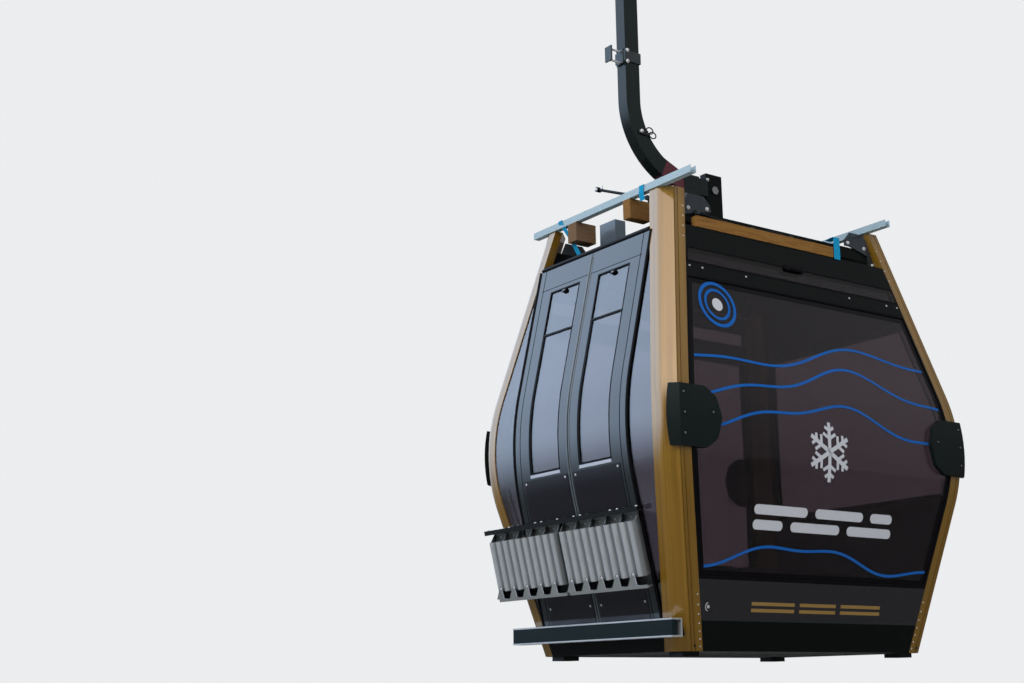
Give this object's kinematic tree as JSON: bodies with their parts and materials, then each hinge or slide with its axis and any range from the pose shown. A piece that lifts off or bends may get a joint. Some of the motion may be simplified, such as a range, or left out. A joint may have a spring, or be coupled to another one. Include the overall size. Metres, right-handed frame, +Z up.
{
  "type": "cable car cabin",
  "caption": "Cable car cabin with bent gold corner posts, tinted glass, twin sliding doors and ski racks, on a bent hanger with a rope grip.",
  "frame": {"origin": "middle of the rope's length in the jaws of the grip, on the rope's axis", "axes": "+X away from the door side, +Y along the rope, +Z up"},
  "size_m": [2.3765, 1.764, 5.025],
  "materials": {
    "gold_paint": "satin gold lacquer on the corner posts",
    "black_paint": "semi-gloss black",
    "black_panel": "gloss black panel",
    "tinted_glass": "tinted acrylic, gloss",
    "rack_aluminium": "bare, slightly dull",
    "bumper_rubber": "matt black",
    "hanger_paint": "dark grey-green, satin",
    "maroon_paint": "maroon, satin",
    "galvanised": "galvanised",
    "steel": "machined",
    "cast_steel": "painted casting",
    "roller_rubber": "moulded tread",
    "seat_cover": "dark seat cover",
    "bare_timber": "sawn",
    "grey_box": "grey-blue, satin",
    "floor_alu": "dull"
  },
  "bodies": {
    "grip": {"grip_body": "cast_steel", "jaw_pin": "steel", "roller_axles": "steel", "friction_plate": "steel", "pivot_pin": "steel"},
    "jaw": {"grip_jaw": "cast_steel", "grip_lever": "cast_steel"},
    "roller_far": {"running_roller_far": "roller_rubber"},
    "roller_near": {"running_roller_near": "roller_rubber"},
    "lever_roller": {"coupling_roller": "roller_rubber"},
    "cabin": {"hanger_hub": "hanger_paint", "hanger_arm": "hanger_paint", "hanger_gusset": "maroon_paint", "hanger_bracket": "galvanised", "roof_yoke": "black_paint", "yoke_pin": "steel", "yoke_buffers": "bumper_rubber", "roof_frame": "black_paint", "roof_gussets": "black_paint", "roof_panel": "black_paint", "corner_posts": "gold_paint", "foot_pads": "bumper_rubber", "end_sills": "black_paint", "end_lower_panels": "black_panel", "end_windows": "tinted_glass", "end_rails": "black_paint", "end_vents": "black_paint", "end_headers": "black_panel", "floor_plate": "floor_alu", "floor_beams": "floor_alu", "side_sills": "black_paint", "door_leaf_far": "black_paint", "door_leaf_near": "black_paint", "door_windows": "tinted_glass", "door_vents": "black_paint", "door_panels": "black_panel", "door_portal": "black_paint", "side_windows": "tinted_glass", "far_lower_panel": "black_panel", "far_window": "tinted_glass", "far_header": "black_paint", "bumpers": "bumper_rubber", "guide_rail": "rack_aluminium", "guide_brackets": "black_paint", "ski_rack_fronts": "rack_aluminium", "ski_rack_dividers": "rack_aluminium", "ski_rack_frames": "rack_aluminium", "ski_rack_bar": "rack_aluminium", "bench_frames": "black_paint", "bench_seats": "seat_cover", "grab_rails": "steel", "door_drive": "grey_box", "door_lever": "black_paint", "roof_channels": "galvanised", "timber_batten": "bare_timber", "timber_blocks": "bare_timber", "roof_cable": "black_paint", "cable_clips": "black_paint"}
  },
  "joints": [
    {"name": "hanger_swing", "type": "hinge", "parent": "grip", "child": "cabin", "pos_m": [0, 0, -0.26], "axis": [1, 0, 0], "range_deg": [-35, 35]},
    {"name": "jaw_open", "type": "hinge", "parent": "grip", "child": "jaw", "pos_m": [0.048, 0, -0.06], "axis": [0, 1, 0], "range_deg": [0, 20], "stiffness_Nm_per_rad": 500, "springref_deg": -20.05},
    {"name": "running_roller_far_spin", "type": "hinge", "parent": "grip", "child": "roller_far", "pos_m": [0.115, 0.085, -0.17], "axis": [1, 0, 0], "continuous": true},
    {"name": "running_roller_near_spin", "type": "hinge", "parent": "grip", "child": "roller_near", "pos_m": [0.115, -0.085, -0.17], "axis": [1, 0, 0], "continuous": true},
    {"name": "coupling_roller_spin", "type": "hinge", "parent": "jaw", "child": "lever_roller", "pos_m": [0.205, 0, 0.06], "axis": [1, 0, 0], "continuous": true}
  ]
}
